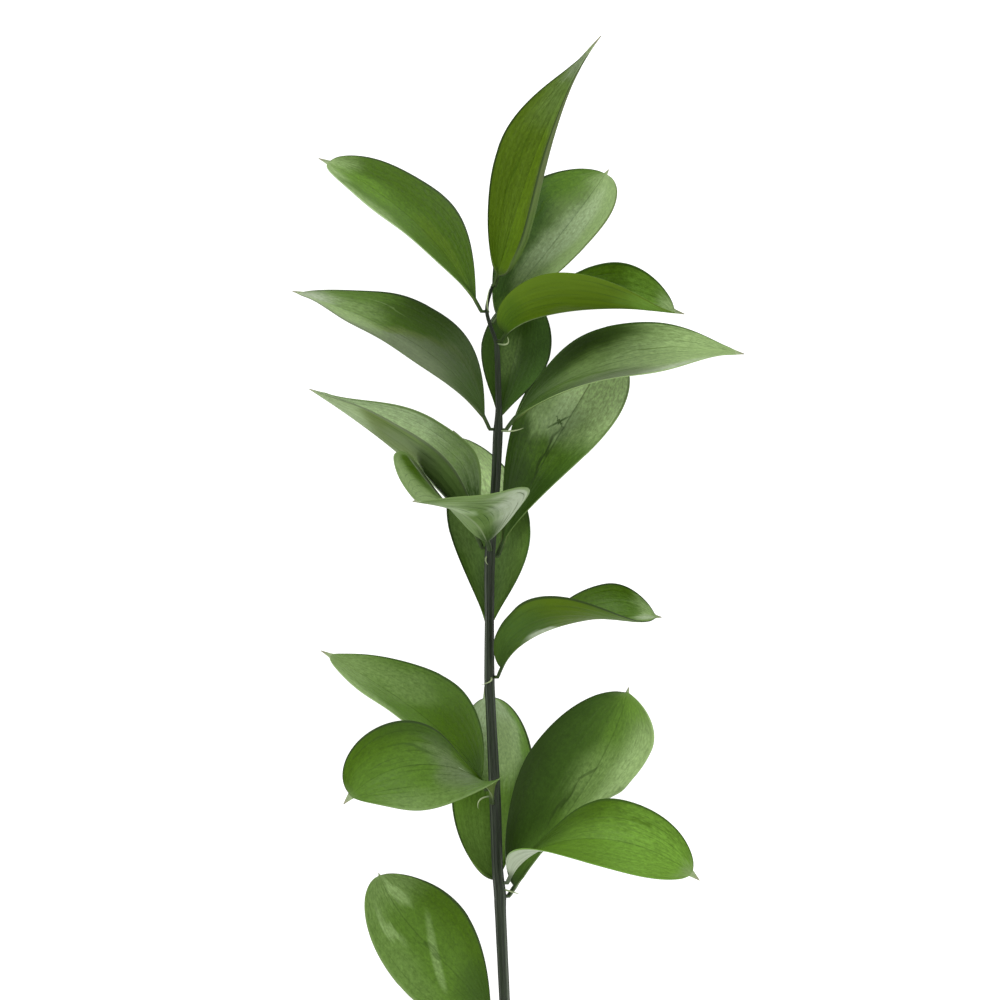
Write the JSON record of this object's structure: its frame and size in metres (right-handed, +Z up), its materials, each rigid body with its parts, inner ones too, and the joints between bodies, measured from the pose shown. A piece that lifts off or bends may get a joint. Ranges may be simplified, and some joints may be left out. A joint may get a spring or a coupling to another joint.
{
  "type": "ruscus stem",
  "caption": "Cut ruscus stem lying flat, a slim ridged green stem with glossy folded pointed leaves along both sides and an end leaf, for dried and fresh flower arrangements.",
  "frame": {"origin": "centre of the lying spray's outline seen from above, on the surface that it lies on", "axes": "+Y along the stem from its cut end to the end leaf, +Z up away from the surface, +X to the right of the stem seen from above with the end leaf pointing away"},
  "size_m": [0.1612, 0.45, 0.079],
  "materials": {
    "stem": "satin dark green bark with fine lengthwise ridges",
    "leaf": "smooth leathery green, glossy above and paler beneath, with fine lengthwise veins"
  },
  "bodies": {
    "root": {"main_stem": "stem", "leaf_01": "leaf", "leaf_02": "leaf", "leaf_03": "leaf", "leaf_04": "leaf", "leaf_05": "leaf", "leaf_06": "leaf", "leaf_07": "leaf", "leaf_08": "leaf", "leaf_09": "leaf", "leaf_10": "leaf", "leaf_11": "leaf", "leaf_12": "leaf", "leaf_13": "leaf", "leaf_14": "leaf", "leaf_15": "leaf", "leaf_16": "leaf", "leaf_17": "leaf", "leaf_18": "leaf"}
  },
  "joints": []
}
